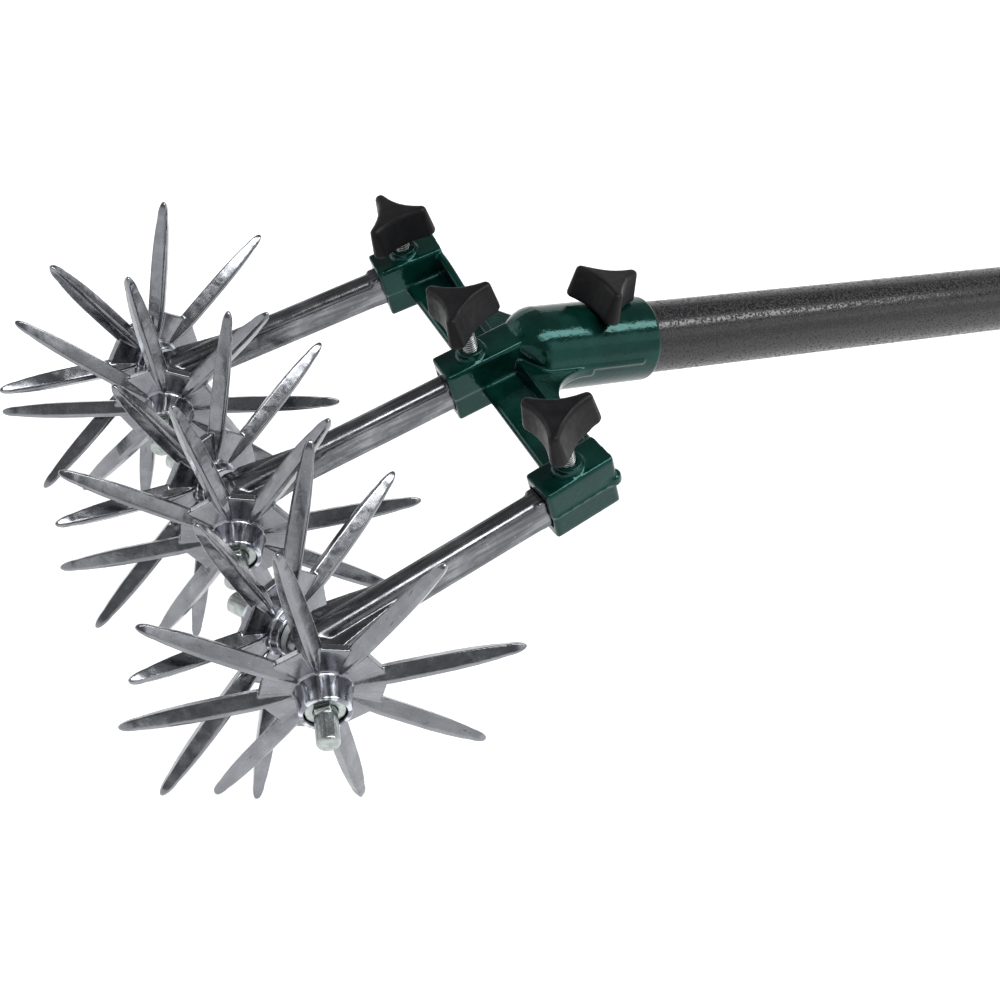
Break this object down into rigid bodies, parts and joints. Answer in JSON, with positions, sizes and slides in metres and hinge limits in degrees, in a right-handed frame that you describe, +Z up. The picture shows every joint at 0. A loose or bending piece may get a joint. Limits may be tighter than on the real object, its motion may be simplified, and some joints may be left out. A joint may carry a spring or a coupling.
{
  "type": "rotary hand cultivator",
  "caption": "Long-handled rotary hand cultivator: toed pairs of star wheels on cast shanks, clamped by knobs in a cross-shaped head behind which a tube handle is held",
  "frame": {"origin": "on the ground, under the middle of the tool's bounding box", "axes": "+Y from the star wheels to the grip, +X along the crossbar to the near pair of wheels, +Z up; the tool lies on the tines of its wheels and the end of its grip, knobs up"},
  "size_m": [0.247, 1.3734, 0.1531],
  "materials": {
    "green_paint": "gloss enamel, very dark green",
    "bright_casting": "bright tumbled die casting",
    "zinc_plate": "bright zinc plating",
    "nylon": "natural nylon",
    "black_plastic": "fine matte black",
    "hammertone": "dark grey hammertone paint",
    "black_rubber": "satin black rubber"
  },
  "bodies": {
    "frame": {"head_casting": "green_paint", "shank_near": "bright_casting", "shank_middle": "bright_casting", "shank_far": "bright_casting", "axle_near": "zinc_plate", "axle_middle": "zinc_plate", "axle_far": "zinc_plate", "spacer_1": "nylon", "spacer_2": "nylon", "spacer_3": "nylon", "spacer_4": "nylon", "spacer_5": "nylon", "spacer_6": "nylon", "washer_1": "zinc_plate", "washer_2": "zinc_plate", "washer_3": "zinc_plate", "washer_4": "zinc_plate", "washer_5": "zinc_plate", "washer_6": "zinc_plate", "handle_tube": "hammertone", "handle_grip": "black_rubber"},
    "wheel_1": {"star_wheel_1": "bright_casting"},
    "wheel_2": {"star_wheel_2": "bright_casting"},
    "wheel_3": {"star_wheel_3": "bright_casting"},
    "wheel_4": {"star_wheel_4": "bright_casting"},
    "wheel_5": {"star_wheel_5": "bright_casting"},
    "wheel_6": {"star_wheel_6": "bright_casting"},
    "clamp_near": {"knob_near": "black_plastic", "stud_near": "zinc_plate"},
    "clamp_middle": {"knob_middle": "black_plastic", "stud_middle": "zinc_plate"},
    "clamp_far": {"knob_far": "black_plastic", "stud_far": "zinc_plate"},
    "clamp_collar": {"knob_collar": "black_plastic", "stud_collar": "zinc_plate"}
  },
  "joints": [
    {"name": "wheel_1_spin", "type": "hinge", "parent": "frame", "child": "wheel_1", "pos_m": [0.09958, -0.6203, 0.07146], "axis": [0.9553, -0.2795, -0.0966], "continuous": true},
    {"name": "wheel_2_spin", "type": "hinge", "parent": "frame", "child": "wheel_2", "pos_m": [0.06771, -0.62307, 0.07043], "axis": [0.8846, 0.4396, 0.1556], "continuous": true},
    {"name": "wheel_3_spin", "type": "hinge", "parent": "frame", "child": "wheel_3", "pos_m": [0.016, -0.62145, 0.06917], "axis": [0.9239, -0.3591, -0.1323], "continuous": true},
    {"name": "wheel_4_spin", "type": "hinge", "parent": "frame", "child": "wheel_4", "pos_m": [-0.016, -0.62145, 0.06917], "axis": [0.9239, 0.3591, 0.1323], "continuous": true},
    {"name": "wheel_5_spin", "type": "hinge", "parent": "frame", "child": "wheel_5", "pos_m": [-0.06771, -0.62208, 0.06791], "axis": [0.8846, -0.4364, -0.1644], "continuous": true},
    {"name": "wheel_6_spin", "type": "hinge", "parent": "frame", "child": "wheel_6", "pos_m": [-0.09957, -0.61931, 0.06893], "axis": [0.9553, 0.2763, 0.1054], "continuous": true},
    {"name": "knob_near_turn", "type": "hinge", "parent": "frame", "child": "clamp_near", "pos_m": [0.07318, -0.52004, 0.12147], "axis": [0, -0.3458, 0.9383], "range_deg": [0, 720]},
    {"name": "knob_middle_turn", "type": "hinge", "parent": "frame", "child": "clamp_middle", "pos_m": [0, -0.52327, 0.12028], "axis": [0, -0.3458, 0.9383], "range_deg": [0, 720]},
    {"name": "knob_far_turn", "type": "hinge", "parent": "frame", "child": "clamp_far", "pos_m": [-0.07318, -0.52004, 0.12147], "axis": [0, -0.3458, 0.9383], "range_deg": [0, 720]},
    {"name": "knob_collar_turn", "type": "hinge", "parent": "frame", "child": "clamp_collar", "pos_m": [0, -0.46898, 0.11472], "axis": [0, 0.0831, 0.9965], "range_deg": [0, 720]}
  ],
  "couplings": [
    {"joint": "wheel_1_spin", "follows": "wheel_3_spin", "ratio": 1},
    {"joint": "wheel_2_spin", "follows": "wheel_3_spin", "ratio": 1},
    {"joint": "wheel_4_spin", "follows": "wheel_3_spin", "ratio": 1},
    {"joint": "wheel_5_spin", "follows": "wheel_3_spin", "ratio": 1},
    {"joint": "wheel_6_spin", "follows": "wheel_3_spin", "ratio": 1}
  ]
}
